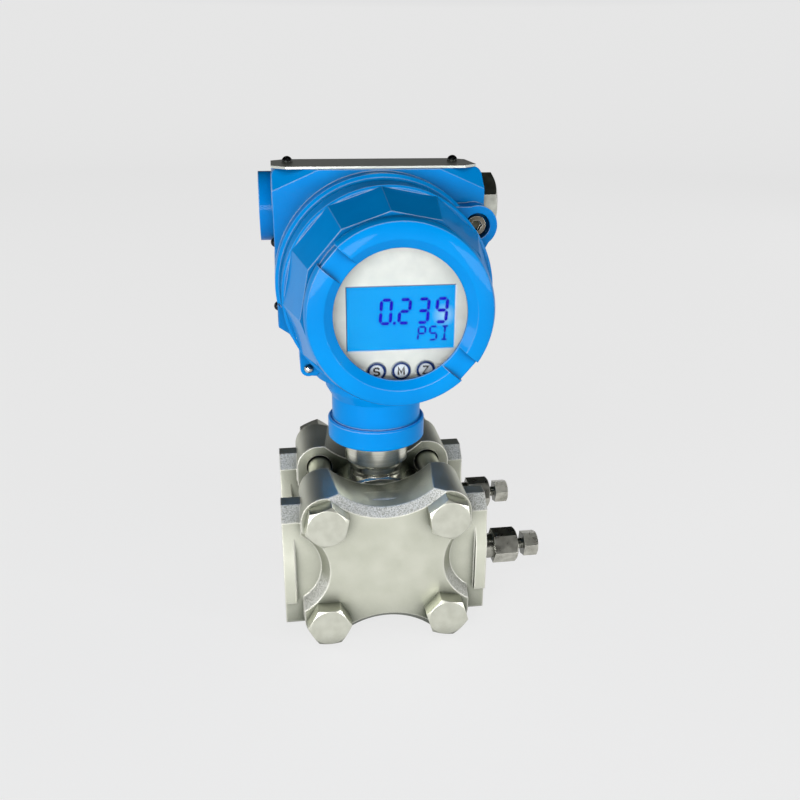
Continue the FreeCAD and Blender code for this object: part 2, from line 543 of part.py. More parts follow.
def front_cover():
    """Screwed cover: round rim, twelve-sided taper, waist, and a rounded ring round the window."""
    body = new_body("front_cover")
    rim_back = "-(barrel_half + rim_gap)"
    turned(body, "rim", ring_profile(body, "rim_section", [
        ("blank_in_r", "-spigot_end"), ("spigot_r", "-spigot_end"), ("spigot_r", rim_back),
        ("rim_r - 1.2", rim_back), ("rim_r", rim_back + " - 1.2"), ("rim_r", "1 - rim_end"),
        ("rim_r - 1", "-rim_end"), ("blank_in_r", "-rim_end")]), "V_Axis")
    frustum(body, "taper", "rim_end", "facet_rim_r", "facet_front", "facet_tip_r")
    turned(body, "ring", ring_profile(body, "ring_section", [
        ("blank_in_r", "-rim_end"), ("waist_r", "-rim_end"), ("waist_r", "-ring_back"),
        ("ring_r - 1", "-ring_back"), ("ring_r", "-ring_back - 1"),
        ("ring_r", "ring_round - ring_front"), ("ring_r - 0.9", "0.9 - ring_front"),
        ("ring_r - ring_round", "-ring_front"), ("blank_in_r", "-ring_front")]), "V_Axis")
    turned(body, "bore", ring_profile(body, "bore_section", [
        ("0", "-ring_front"), ("bezel_r", "-ring_front"), ("window_r", "bezel_deep - ring_front"),
        ("window_r", "-lip_back"), ("bore_r", "-lip_back"),
        ("bore_r", "-snap_back - snap_thick - 0.1"), ("snap_out_r + 0.1", "-snap_back - snap_thick - 0.1"),
        ("snap_out_r + 0.1", "0.1 - snap_back"), ("bore_r", "0.1 - snap_back"),
        ("bore_r", "-facet_front + 2"), ("spigot_bore_r", "-facet_front + 8"),
        ("spigot_bore_r", "-spigot_end"), ("0", "-spigot_end")]), "V_Axis", "Groove")
    turned(body, "seal_groove", ring_profile(body, "groove_section", [
        ("seal_groove_in", rim_back), ("seal_groove_out", rim_back),
        ("seal_groove_out", rim_back + " - seal_groove_deep"),
        ("seal_groove_in", rim_back + " - seal_groove_deep")]), "V_Axis", "Groove")
    for turn in SLOT_TURNS:
        rim_cut(body, turn, "(window_r - 1)", "-ring_front - 1", "slot_deep + 1")
        rim_cut(body, turn, "(ring_r - slot_notch)", "-ring_front - 1", "ring_front - ring_back + 2")
    node(body, "front_cover", AXIS)


def rear_cover():
    """Blind screwed cover over the wiring compartment."""
    body = new_body("rear_cover")
    rim_back = "barrel_half + rim_gap"
    turned(body, "rim", ring_profile(body, "rim_section", [
        ("0", "spigot_end"), ("spigot_r", "spigot_end"), ("spigot_r", rim_back),
        ("rim_r - 1.2", rim_back), ("rim_r", rim_back + " + 1.2"), ("rim_r", "rear_rim_end - 1"),
        ("rim_r - 1", "rear_rim_end"), ("0", "rear_rim_end")]), "V_Axis")
    frustum(body, "taper", "-rear_rim_end", "facet_rim_r", "-rear_facet_end", "rear_tip_r")
    turned(body, "face", ring_profile(body, "face_section", [
        ("0", "rear_rim_end"), ("rear_face_r", "rear_rim_end"), ("rear_face_r", "rear_end - ring_round"),
        ("rear_face_r - 0.9", "rear_end - 0.9"), ("rear_face_r - ring_round", "rear_end"),
        ("0", "rear_end")]), "V_Axis")
    turned(body, "hollow", ring_profile(body, "hollow_section", [
        ("0", "spigot_end"), ("spigot_bore_r", "spigot_end"), ("spigot_bore_r", "rear_floor - 4"),
        ("spigot_bore_r - 4", "rear_floor"), ("0", "rear_floor")]), "V_Axis", "Groove")
    turned(body, "seal_groove", ring_profile(body, "groove_section", [
        ("seal_groove_in", rim_back), ("seal_groove_out", rim_back),
        ("seal_groove_out", rim_back + " + seal_groove_deep"),
        ("seal_groove_in", rim_back + " + seal_groove_deep")]), "V_Axis", "Groove")
    for turn in SLOT_TURNS:
        rim_cut(body, turn, "bezel_r", "rear_end - slot_deep", "slot_deep + 1")
    node(body, "rear_cover", AXIS)


def window():
    node(tube("window_gasket", (0, 0, 0), "+Y", "glass_r", "window_r + 0.3", "gasket_wall"),
         "window_gasket", ("neck_x", "-lip_back", "cover_z"))
    node(shape("Cylinder", "window_disc", (0, 0, 0), "+Y", Radius="glass_r", Height="glass_thick"),
         "window_glass", ("neck_x", "gasket_wall - lip_back", "cover_z"))
    node(tube("snap_ring", (0, 0, 0), "+Y", "snap_out_r", "snap_in_r", "snap_thick"),
         "glass_retaining_ring", ("neck_x", "-snap_back - snap_thick", "cover_z"))
    for name, sign in (("front", "-"), ("rear", "")):
        node(shape("Torus", name + "_wire", (0, 0, 0), "+Y", Radius1="seal_r", Radius2="seal_wire_r"),
             name + "_cover_o_ring",
             ("neck_x", sign + "(barrel_half + rim_gap + seal_groove_deep - seal_wire_r - 0.1)", "cover_z"))


def display():
    """Display module with its faceplate, panel, three keys, board and screws."""
    front = "plate_thick - plate_front"
    deep = "plate_front - plate_thick - module_back"
    can = shape("Cylinder", "module_can", (0, front, 0), "+Y", Radius="module_r", Height=deep)
    foot = shape("Cylinder", "module_foot", (0, "-module_back - module_flange_thick", 0), "+Y",
                 Radius="module_flange_r", Height="module_flange_thick")
    hollow = shape("Cylinder", "module_hollow", (0, front + " + module_face", 0), "+Y",
                   Radius="module_r - module_wall", Height=deep + " - module_face")
    plate = shape("Cylinder", "plate_disc", (0, "-plate_front", 0), "+Y",
                  Radius="plate_r", Height="plate_thick")
    lcd_place = ("display_x - lcd_wide / 2", "lcd_sink - plate_front", "lcd_z - lcd_high / 2")
    panel = shape("Box", "lcd_box", (0, 0, 0), Length="lcd_wide", Width="lcd_thick", Height="lcd_high")
    pocket = shape("Box", "lcd_pocket", ("display_x - lcd_wide / 2 - 0.1", "-plate_front - 1",
                                         "lcd_z - lcd_high / 2 - 0.1"),
                   Length="lcd_wide + 0.2", Width="lcd_sink + lcd_thick + 1", Height="lcd_high + 0.2")
    wells = [shape("Cylinder", "key_hole", ("display_x + %d * key_pitch" % step, "-plate_front - 1", "key_z"),
                   "+Y", Radius="key_r + key_gap", Height="key_well + 1") for step in (-1, 0, 1)]
    feet = [shape("Cylinder", "foot_hole", stud_place(turn, "-module_back - module_flange_thick - 1"),
                  "+Y", Radius="small_shank_r + running_gap", Height="module_flange_thick + 2")
            for turn in STUD_TURNS]
    openings = join("display_openings", [pocket] + wells)
    node(cut("module", join("module_solid", [can, foot]),
             join("module_cuts", [hollow, openings] + feet)), "display_housing", AXIS)
    node(cut("plate", plate, openings), "display_faceplate", AXIS)
    node(panel, "lcd_panel", ("neck_x + " + lcd_place[0], lcd_place[1], "cover_z + " + lcd_place[2]))
    for name, step in (("left", -1), ("middle", 0), ("right", 1)):
        cap = shape("Cylinder", name + "_cap", (0, 0, 0), "+Y", Radius="key_r", Height="key_long")
        node(cap, name + "_key", ("neck_x + display_x + %d * key_pitch" % step,
                                  "-plate_front - key_proud", "cover_z + key_z"))
    board = shape("Cylinder", "board_disc", (0, "-module_back", 0), "+Y",
                  Radius="board_r", Height="board_thick")
    holes = [shape("Cylinder", "board_hole", stud_place(turn, "-module_back - 1"), "+Y",
                   Radius="small_shank_r + running_gap", Height="board_thick + 2") for turn in STUD_TURNS]
    node(cut("board", board, join("board_holes", holes)), "electronics_board", AXIS)
    group("display_screws", [
        pan_screw("display_screw", stud_place(turn, "-module_back - module_flange_thick"), "-Y",
                  "small_head_r", "small_head_high", "small_shank_r", "board_long") for turn in STUD_TURNS],
        AXIS)


def terminals():
    """Terminal block with ribs between its screws, and the earth screw below it."""
    block = shape("Box", "block_box", ("-block_half_x", "-wall_back", "block_low"),
                  Length="2 * block_half_x", Width="block_deep", Height="block_high - block_low")
    ribs = [shape("Box", "rib", ("%d * terminal_pitch - rib_thick / 2" % step, "block_deep - wall_back - 1",
                                 "block_low"),
                  Length="rib_thick", Width="rib_high + 1", Height="block_high - block_low")
            for step in (-2, -1, 0, 1, 2)]
    places = [("%.1f * terminal_pitch" % step, "block_deep - wall_back", 0)
              for step in (-1.5, -0.5, 0.5, 1.5)]
    holes = [shape("Cylinder", "terminal_hole", place, "-Y", Radius="small_shank_r + running_gap",
                   Height="small_hole_deep") for place in places]
    node(cut("block", join("block_solid", [block] + ribs), join("terminal_holes", holes)),
         "terminal_block", AXIS)
    group("terminal_screws", [
        pan_screw("terminal_screw", place, "+Y", "terminal_head_r", "terminal_head_high",
                  "small_shank_r", "small_shank_long") for place in places], AXIS)
    node(pan_screw("earth_screw", (0, 0, 0), "+Y", "terminal_head_r", "terminal_head_high",
                   "small_shank_r", "earth_long"),
         "ground_screw", ("neck_x", "-wall_back", "cover_z - ground_drop"))


def tag_plate():
    body = new_body("tag_plate")
    left = "tag_x - tag_long / 2"
    right = "tag_x + tag_long / 2"
    near = "tag_y - tag_wide / 2"
    far = "tag_y + tag_wide / 2"
    drawing = outline(sketch(body, "XY_Plane", "plate_section", "box_top"), [
        (left + " + tag_corner", near), (right + " - tag_corner", near), (right, near + " + tag_corner"),
        (right, far + " - tag_corner"), (right + " - tag_corner", far), (left + " + tag_corner", far),
        (left, far + " - tag_corner"), (left, near + " + tag_corner")])
    pad(body, "plate", drawing, "tag_thick")
    for across in (-1, 1):
        feature(body, "SubtractiveCylinder", "screw_hole",
                ("tag_x + %d * tag_screw_dx" % across, "tag_screw_y", "box_top"), "+Z",
                Radius="small_shank_r + running_gap", Height="tag_thick")
    node(body, "tag_plate", AXIS)


def outside_screws():
    group("tag_plate_screws", [
        pan_screw("tag_screw", ("tag_x + %d * tag_screw_dx" % across, "tag_screw_y",
                                "box_top + tag_thick"), "+Z",
                  "tag_head_r", "tag_head_high", "small_shank_r", "small_shank_long")
        for across in (-1, 1)], AXIS)
    group("side_screws", [
        pan_screw("side_screw", ("-box_half_x", "side_screw_y", height), "-X",
                  "side_head_r", "side_head_high", "small_shank_r", "small_shank_long")
        for height in ("side_screw_top", "side_screw_low")], AXIS)
    node(pan_screw("foot_screw", (0, 0, 0), "-Y", "small_head_r", "small_head_high",
                   "small_shank_r", "small_shank_long"),
         "lower_lug_screw", ("neck_x - foot_lug_x", "-barrel_half", "cover_z - foot_lug_z"))
    node(socket_screw("clamp", (0, 0, 0), "-Y", "lock_head_r", "lock_head_high", "lock_shank_r",
                      "lock_long - 0.5", "socket_af", "socket_deep"),
         "cover_clamp_screw", ("neck_x + lug_x", "lug_bore_deep - barrel_half", "cover_z + lug_z"))
    grub = shape("Cylinder", "grub", Radius="grub_r", Height="grub_long")
    socket = shape("Prism", "grub_socket", (0, 0, "grub_long - socket_deep"),
                   Circumradius="grub_r / 2", Height="socket_deep")
    socket.Polygon = 6
    node(put(cut("grub_screw", grub, socket), (0, 0, 0), "+Y"),
         "swivel_set_screw", ("neck_x", "stem_r + 0.3", "(collar_low + collar_high) / 2"))
    head = hex_bar("plug_head", (0, 0, 0), "+Z", "plug_af", "plug_head", 8)
    thread = shape("Cylinder", "plug_thread", (0, 0, "-plug_long"), Radius="conduit_r - running_gap",
                   Height="plug_long + 1")
    node(put(join("plug", [head, thread]), (0, 0, 0), "+X"),
         "conduit_plug", ("neck_x + box_half_x", "conduit_y", "cover_z + conduit_z"))


process_flange("front_process_flange", -1)
process_flange("rear_process_flange", 1)
fasten_flanges()
sensor_cell()
flange_seals()
vent_valve("front", "-")
vent_valve("rear", "")
housing()
front_cover()
rear_cover()
window()
display()
terminals()
tag_plate()
outside_screws()
doc.recompute()

for thing in doc.Objects:
    if "Invalid" in thing.State or "Error" in thing.State:
        raise RuntimeError("%s did not compute: %s" % (thing.Label, thing.State))
for thing in nodes:
    if thing.Shape.isNull() or not thing.Shape.isValid():
        raise RuntimeError("%s has no valid shape" % thing.Label)
    thing.Shape.exportStep("parts/%s.step" % thing.Label)
    print("%-24s solids %d, %.1f cm3" % (thing.Label, len(thing.Shape.Solids), thing.Shape.Volume / 1000))
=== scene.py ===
import math
import bpy
import bmesh
from mathutils import Matrix, Vector


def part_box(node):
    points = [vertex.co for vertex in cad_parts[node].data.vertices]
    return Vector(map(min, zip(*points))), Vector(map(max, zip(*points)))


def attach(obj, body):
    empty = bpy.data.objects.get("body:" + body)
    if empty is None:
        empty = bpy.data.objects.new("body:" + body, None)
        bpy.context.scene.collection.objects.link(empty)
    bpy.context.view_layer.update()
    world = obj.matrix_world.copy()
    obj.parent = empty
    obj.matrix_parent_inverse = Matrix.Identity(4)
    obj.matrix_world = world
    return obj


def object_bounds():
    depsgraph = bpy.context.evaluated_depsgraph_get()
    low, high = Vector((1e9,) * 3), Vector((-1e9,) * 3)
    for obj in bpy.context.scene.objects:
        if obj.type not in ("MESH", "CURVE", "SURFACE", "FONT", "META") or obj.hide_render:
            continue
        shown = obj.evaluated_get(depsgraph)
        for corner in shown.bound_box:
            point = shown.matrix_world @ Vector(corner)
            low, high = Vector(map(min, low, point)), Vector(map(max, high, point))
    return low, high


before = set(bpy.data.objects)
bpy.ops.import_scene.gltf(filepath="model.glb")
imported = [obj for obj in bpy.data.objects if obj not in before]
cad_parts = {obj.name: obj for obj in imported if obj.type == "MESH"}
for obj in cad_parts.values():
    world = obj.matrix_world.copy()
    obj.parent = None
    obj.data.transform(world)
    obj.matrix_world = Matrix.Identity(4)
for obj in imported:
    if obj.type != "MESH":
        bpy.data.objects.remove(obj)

# A differential pressure transmitter, dressed on its CAD frame. Metres, +Z up, -Y towards the display.

mm = 0.001
cadLow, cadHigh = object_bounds()


def middle(nodeName):
    # the centre of a node's box, in millimetres
    low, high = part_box(nodeName)
    return (Vector(low) + Vector(high)) / 2 / mm


def front(nodeName):
    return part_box(nodeName)[0][1] / mm


neckX = middle("sensor_cell").x
axisZ = middle("window_glass").z    # the height of the covers' axis
faceY = front("display_faceplate")
floorZ = cadLow[2]


def linear(hexColour):
    channels = [int(hexColour[i:i + 2], 16) / 255 for i in (1, 3, 5)]
    return tuple(c / 12.92 if c <= 0.04045 else ((c + 0.055) / 1.055) ** 2.4 for c in channels) + (1.0,)


def addNode(tree, kind, settings=None, links=None):
    node = tree.nodes.new(kind)
    for name, value in (settings or {}).items():
        if isinstance(name, int) or name in node.inputs:
            node.inputs[name].default_value = value
        else:
            setattr(node, name, value)
    for name, source in (links or {}).items():
        tree.links.new(source, node.inputs[name])
    return node


def newMaterial(name, settings):
    material = bpy.data.materials.new(name)
    material.use_nodes = True
    tree = material.node_tree
    shader = tree.nodes["Principled BSDF"]
    for socket, value in settings.items():
        shader.inputs[socket].default_value = value
    place = addNode(tree, "ShaderNodeTexCoord").outputs["Object"]
    return material, tree, shader, place


def feed(tree, shader, sources):
    for socket, source in sources.items():
        tree.links.new(source, shader.inputs[socket])


def colourRange(tree, factor, low, high, stops=(0.3, 0.7)):
    ramp = addNode(tree, "ShaderNodeValToRGB", links={"Fac": factor})
    ramp.color_ramp.elements[0].position, ramp.color_ramp.elements[1].position = stops
    ramp.color_ramp.elements[0].color = low
    ramp.color_ramp.elements[1].color = high
    return ramp.outputs["Color"]


def numberRange(tree, factor, low, high, stops=(0.3, 0.7)):
    reach = addNode(tree, "ShaderNodeMapRange",
                    {"From Min": stops[0], "From Max": stops[1], "To Min": low, "To Max": high},
                    {"Value": factor})
    return reach.outputs["Result"]


def stretched(tree, place, scale):
    mapping = addNode(tree, "ShaderNodeMapping", {"Scale": scale}, {"Vector": place})
    return mapping.outputs["Vector"]


def noise(tree, place, grainMm, detail=3.0):
    field = addNode(tree, "ShaderNodeTexNoise", {"Scale": 1 / (grainMm * mm), "Detail": detail},
                    {"Vector": place})
    return field.outputs["Fac"]


def product(tree, first, second):
    both = addNode(tree, "ShaderNodeMath", {"operation": "MULTIPLY"}, {0: first, 1: second})
    return both.outputs["Value"]


def blend(tree, factor, under, over):
    # one colour laid over another where the factor is high; over may be a fixed colour
    mix = addNode(tree, "ShaderNodeMixRGB", links={"Fac": factor, "Color1": under})
    if isinstance(over, tuple):
        mix.inputs["Color2"].default_value = over
    else:
        tree.links.new(over, mix.inputs["Color2"])
    return mix.outputs["Color"]


def edgeWearAndHighlight(tree, reachMm, amount):
    # grows towards a part's corners, where the rounded normal leaves the flat one; the pale colour laid on
    # it is a painted highlight, on the metals partly rubbed wear as well
    soft = addNode(tree, "ShaderNodeBevel", {"Radius": reachMm * mm, "samples": 6}).outputs["Normal"]
    flat = addNode(tree, "ShaderNodeNewGeometry").outputs["Normal"]
    same = addNode(tree, "ShaderNodeVectorMath", {"operation": "DOT_PRODUCT"}, {0: soft, 1: flat})
    return numberRange(tree, same.outputs["Value"], amount, 0, (0.9, 0.995))


def recessed(tree, reachMm, amount):
    # grows where neighbouring surfaces close in; the dark colour laid on it is painted shade
    clear = addNode(tree, "ShaderNodeAmbientOcclusion", {"Distance": reachMm * mm, "samples": 6})
    return numberRange(tree, clear.outputs["AO"], amount, 0, (0.35, 0.9))


def bump(tree, height, depthMm, strength, under=None, cornerMm=0):
    # relief on a surface whose corners are rounded, or on another relief
    links = {"Height": height}
    if cornerMm:
        soft = addNode(tree, "ShaderNodeBevel", {"Radius": cornerMm * mm, "samples": 6})
        links["Normal"] = soft.outputs["Normal"]
    if under:
        links["Normal"] = under
    return addNode(tree, "ShaderNodeBump", {"Distance": depthMm * mm, "Strength": strength},
                   links).outputs["Normal"]


paintSettings = {
    "azure": ("#0098F2", "#00A2FC"), "cloudMm": 22, "peelMm": 2.2, "peelDeepMm": 0.03, "cornerMm": 0.8,
    # the recess colour is painted shade in hollows
    "recess": "#04486E", "recessMm": 14, "recessShare": 0.75,
    # the edge colour, its facing and its stops make a painted highlight on edges that face up and forward
    "edge": "#F2FBFF", "edgeMm": 0.7, "edgeShare": 0.55, "highlightFacing": (-0.35, -0.6, 0.72),
    "highlightStops": (0.62, 0.88),
}


def glossAzurePaint():
    # polyester coat on a die casting: deep saturated azure under a clear, sharp gloss
    s = paintSettings
    material, tree, shader, place = newMaterial("glossAzurePaint", {
        "Roughness": 0.35, "IOR": 1.5, "Specular IOR Level": 0.03, "Coat Weight": 0.25,
        "Coat Roughness": 0.02, "Coat IOR": 1.4})
    low, high = s["azure"]
    azure = colourRange(tree, noise(tree, place, s["cloudMm"]), linear(low), linear(high))
    # painted shade: the azure turns dark teal where neighbouring surfaces close in
    azure = blend(tree, recessed(tree, s["recessMm"], s["recessShare"]), azure, linear(s["recess"]))
    # a painted highlight: raised edges that face up and forward are painted a pale line
    soft = addNode(tree, "ShaderNodeBevel", {"Radius": s["edgeMm"] * mm, "samples": 6}).outputs["Normal"]
    onPart = addNode(tree, "ShaderNodeVectorTransform",
                     {"vector_type": "NORMAL", "convert_from": "WORLD", "convert_to": "OBJECT"},
                     {"Vector": soft}).outputs["Vector"]
    lit = addNode(tree, "ShaderNodeVectorMath", {"operation": "DOT_PRODUCT", 1: s["highlightFacing"]},
                  {0: onPart})
    facing = numberRange(tree, lit.outputs["Value"], 0, 1, s["highlightStops"])
    paintedEdgeHighlight = product(tree, edgeWearAndHighlight(tree, s["edgeMm"], s["edgeShare"]), facing)
    peel = noise(tree, place, s["peelMm"], 1.0)    # faint orange peel
    normal = bump(tree, peel, s["peelDeepMm"], 0.3, cornerMm=s["cornerMm"])
    feed(tree, shader, {"Base Color": blend(tree, paintedEdgeHighlight, azure, linear(s["edge"])),
                        "Normal": normal, "Coat Normal": normal})
    return material


castSettings = {
    "ground": ("#CCCEBE", "#D5D6C8"), "blotchMm": 11, "gritty": ("#B4B5A8", "#FFFFFA"), "gritMm": 0.55,
    # the recess colour is painted shade; the edge colour is partly rubbed wear and partly a painted
    # highlight
    "recess": "#2C3626", "recessMm": 24, "recessShare": 0.95, "edge": "#F4F3EA", "edgeMm": 1.1,
    "edgeShare": 0.9, "lumpMm": 3.5, "lumpDeepMm": 0.1, "gritDeepMm": 0.06, "cornerMm": 1.0,
    # the cast skin starts where a face's normal leaves the front and the back, and tips upwards; keeping
    # its pale tone to slopes that face up is partly painted light from above
    "sideways": (0.3, 0.5), "frontal": (0.82, 0.96), "litUpward": (0.1, 0.3),
    "metallic": (0.84, 0.25), "roughness": (0.42, 0.5),
}


def castStainless():
    # lost-wax stainless casting: ground faces are a warm even grey, the cast skin left on slopes
    # is paler and gritty; recesses are darkened by painted shade, and edges are painted bright, partly as
    # rubbed wear and partly as a painted highlight
    s = castSettings
    material, tree, shader, place = newMaterial("castStainless", {})
    facing = addNode(tree, "ShaderNodeSeparateXYZ", links={
        "Vector": addNode(tree, "ShaderNodeNewGeometry").outputs["Normal"]})
    across = addNode(tree, "ShaderNodeMath", {"operation": "ABSOLUTE"}, {0: facing.outputs["Y"]})
    slope = numberRange(tree, across.outputs["Value"], 0, 1, s["sideways"])
    steep = numberRange(tree, across.outputs["Value"], 1, 0, s["frontal"])
    # keeping the pale skin to faces that tip upwards is partly painted light from above
    litUpward = numberRange(tree, facing.outputs["Z"], 0, 1, s["litUpward"])
    skin = product(tree, product(tree, slope, steep), litUpward)
    blotch = noise(tree, place, s["blotchMm"], 4.0)
    grit = noise(tree, place, s["gritMm"], 2.0)
    groundLow, groundHigh = s["ground"]
    gritLow, gritHigh = s["gritty"]
    ground = colourRange(tree, blotch, linear(groundLow), linear(groundHigh))
    gritty = colourRange(tree, grit, linear(gritLow), linear(gritHigh), (0.32, 0.6))
    colour = blend(tree, skin, ground, gritty)
    # painted shade where neighbouring surfaces close in
    colour = blend(tree, recessed(tree, s["recessMm"], s["recessShare"]), colour, linear(s["recess"]))
    # pale edges: partly rubbed wear, partly a painted highlight
    colour = blend(tree, edgeWearAndHighlight(tree, s["edgeMm"], s["edgeShare"]), colour, linear(s["edge"]))
    lumps = bump(tree, noise(tree, place, s["lumpMm"]), s["lumpDeepMm"], 0.45, cornerMm=s["cornerMm"])
    feed(tree, shader, {"Base Color": colour,
                        "Metallic": numberRange(tree, skin, *s["metallic"], (0, 1)),
                        "Roughness": numberRange(tree, blotch, *s["roughness"]),
                        "Normal": bump(tree, grit, s["gritDeepMm"], 0.6, under=lumps)})
    return material


cutSettings = {
    "smearMm": 4, "smearRough": (0.92, 1.1), "grainMm": 0.3, "grainDeepMm": 0.012, "cornerMm": 0.35,
    # the recess colour is painted shade; the edge colour is partly rubbed wear and partly a painted
    # highlight
    "recess": "#2E342A", "recessMm": 10, "recessShare": 0.85, "edge": "#F2F0E8", "edgeMm": 0.525,
}


def machinedSteel(name, tone, roughness, wear=0.5):
    # bright metal cut on a lathe or a mill: fine tool grain, soft reflections, corners painted bright,
    # partly as rubbed wear and partly as a painted highlight, with painted shade in recesses
    s = cutSettings
    material, tree, shader, place = newMaterial(name, {"Metallic": 1.0})
    smear = noise(tree, place, s["smearMm"], 4.0)
    colour = colourRange(tree, smear, linear(tone[0]), linear(tone[1]))
    # painted shade in recesses, then pale edges that are partly wear and partly a painted highlight
    colour = blend(tree, recessed(tree, s["recessMm"], s["recessShare"]), colour, linear(s["recess"]))
    colour = blend(tree, edgeWearAndHighlight(tree, s["edgeMm"], wear), colour, linear(s["edge"]))
    smooth, dull = s["smearRough"]
    grain = noise(tree, place, s["grainMm"])
    feed(tree, shader, {"Base Color": colour,
                        "Roughness": numberRange(tree, smear, roughness * smooth, roughness * dull),
                        "Normal": bump(tree, grain, s["grainDeepMm"], 0.4, cornerMm=s["cornerMm"])})
    return material


turnedSettings = {
    "tone": ("#D2D2C6", "#E6E6DA"), "ringScale": (8, 8, 2000), "ringDeepMm": 0.006, "cornerMm": 0.4,
}


def turnedStainless():
    # turned bar: tool rings round the upright axis, drawn at 0.5 mm so that they show,
    # which spread the light into one upright band
    s = turnedSettings
    material, tree, shader, place = newMaterial("turnedStainless", {"Metallic": 1.0, "Roughness": 0.24})
    rings = addNode(tree, "ShaderNodeTexNoise", {"Scale": 1.0, "Detail": 2.0},
                    {"Vector": stretched(tree, place, s["ringScale"])}).outputs["Fac"]
    low, high = s["tone"]
    feed(tree, shader, {"Base Color": colourRange(tree, rings, linear(low), linear(high)),
                        "Normal": bump(tree, rings, s["ringDeepMm"], 0.2, cornerMm=s["cornerMm"])})
    return material


sheetSettings = {
    "tone": ("#CDD1C7", "#E4E8DE"), "grainScale": (60, 3500, 3500), "grainDeepMm": 0.01,
    # the white edge colour is partly rubbed wear and partly a painted highlight
    "cornerMm": 0.25, "edge": "#FFFFFF", "edgeMm": 0.5, "edgeShare": 0.8,
}


def brushedSheet():
    # stainless sheet with a brushed grain along its length
    s = sheetSettings
    material, tree, shader, place = newMaterial("brushedSheet", {"Metallic": 0.9, "Roughness": 0.34})
    grain = addNode(tree, "ShaderNodeTexNoise", {"Scale": 1.0, "Detail": 3.0},
                    {"Vector": stretched(tree, place, s["grainScale"])}).outputs["Fac"]
    low, high = s["tone"]
    colour = colourRange(tree, grain, linear(low), linear(high))
    # pale edges: partly rubbed wear, partly a painted highlight
    colour = blend(tree, edgeWearAndHighlight(tree, s["edgeMm"], s["edgeShare"]), colour, linear(s["edge"]))
    feed(tree, shader, {"Base Color": colour,
                        "Normal": bump(tree, grain, s["grainDeepMm"], 0.3, cornerMm=s["cornerMm"])})
    return material


plasticSettings = {"cloudMm": 6, "grainDeepMm": 0.01}


def mouldedPlastic(name, low, high, roughness, grainMm=0.5, cornerMm=0.3, shine=0.5):
    # injection moulding: even colour, fine spark-eroded texture
    s = plasticSettings
    material, tree, shader, place = newMaterial(name, {
        "Roughness": roughness, "IOR": 1.5, "Specular IOR Level": shine})
    cloud = colourRange(tree, noise(tree, place, s["cloudMm"]), linear(low), linear(high))
    grain = noise(tree, place, grainMm)
    feed(tree, shader, {"Base Color": cloud,
                        "Normal": bump(tree, grain, s["grainDeepMm"], 0.3, cornerMm=cornerMm)})
    return material


def clearGlass():
    # toughened glass with a low-reflection coat: clear, with a faint mirror-like glint
    material, tree, shader, place = newMaterial("clearGlass", {
        "Roughness": 0.02, "IOR": 1.28, "Transmission Weight": 1.0, "Alpha": 0.22})
    tint = colourRange(tree, noise(tree, place, 30), linear("#F2F8F8"), linear("#FAFDFD"))
    feed(tree, shader, {"Base Color": tint})
    return material


panelSettings = {
    # the lamp's spot is placed from the neck and the covers' axis, in millimetres
    "spotRight": 16.8, "spotUp": -1.8, "spotReach": (0.4, 4.6), "spotShare": 0.8, "spot": "#D8FCFF",
    "lit": ("#04A2F8", "#12AEFC"), "cloudMm": 14, "unlit": "#0468A0", "glow": 0.6,
}


def backlitPanel():
    # liquid crystal over a blue edge light, with the lamp's hot spot showing at the right
    s = panelSettings
    material, tree, shader, place = newMaterial("backlitPanel", {
        "Base Color": linear(s["unlit"]), "Roughness": 0.25, "Specular IOR Level": 0.1,
        "Emission Strength": s["glow"]})
    spot = ((neckX + s["spotRight"]) * mm, faceY * mm, (axisZ + s["spotUp"]) * mm)
    away = addNode(tree, "ShaderNodeVectorMath", {"operation": "DISTANCE", 1: spot}, {0: place})
    near, far = s["spotReach"]
    halo = numberRange(tree, away.outputs["Value"], s["spotShare"], 0, (near * mm, far * mm))
    low, high = s["lit"]
    cloud = colourRange(tree, noise(tree, place, s["cloudMm"]), linear(low), linear(high))
    feed(tree, shader, {"Emission Color": blend(tree, halo, cloud, linear(s["spot"]))})
    return material


def circuitLaminate():
    # glass-fibre board under green solder mask, with the copper pattern showing faintly
    patternMm = 2.5
    material, tree, shader, place = newMaterial("circuitLaminate", {"Roughness": 0.35})
    cells = addNode(tree, "ShaderNodeTexVoronoi", {"Scale": 1 / (patternMm * mm), "distance": "CHEBYCHEV"},
                    {"Vector": place}).outputs["Distance"]
    green = colourRange(tree, cells, linear("#0E5A2A"), linear("#1D7A3C"), (0.35, 0.45))
    feed(tree, shader, {"Base Color": green})
    return material


paint = glossAzurePaint()
castMetal = castStainless()
boltMetal = machinedSteel("machinedBolt", ("#CFD0C2", "#DCDDD0"), 0.36)
ventMetal = machinedSteel("machinedVent", ("#9C9B91", "#CBCAC0"), 0.28)
brightMetal = machinedSteel("brightScrew", ("#C4C4C0", "#E2E2DE"), 0.2)
brassMetal = machinedSteel("nickelledBrass", ("#B79A55", "#D8BE7C"), 0.25, wear=0.2)
agedMetal = machinedSteel("agedScrew", ("#554E44", "#8C857A"), 0.22)
darkMetal = machinedSteel("blackenedScrew", ("#1B1B1D", "#34343A"), 0.3, wear=0.1)
turnedMetal = turnedStainless()
sheetMetal = brushedSheet()
rubber = mouldedPlastic("nitrileRubber", "#141414", "#1D1D1D", 0.55)
plugMetal = machinedSteel("nickelledPlug", ("#A6A89F", "#CCCEC4"), 0.3)
blockPlastic = mouldedPlastic("blackPhenolic", "#131313", "#202020", 0.45)
canPlastic = mouldedPlastic("greyAbs", "#33383E", "#40464D", 0.45)
facePlastic = mouldedPlastic("silverFilm", "#E2E5E0", "#EEF0EA", 0.4, 0.25, shine=0.2)
keyPlastic = mouldedPlastic("paleKeyFilm", "#DDE6EE", "#ECF2F8", 0.35, shine=0.2)
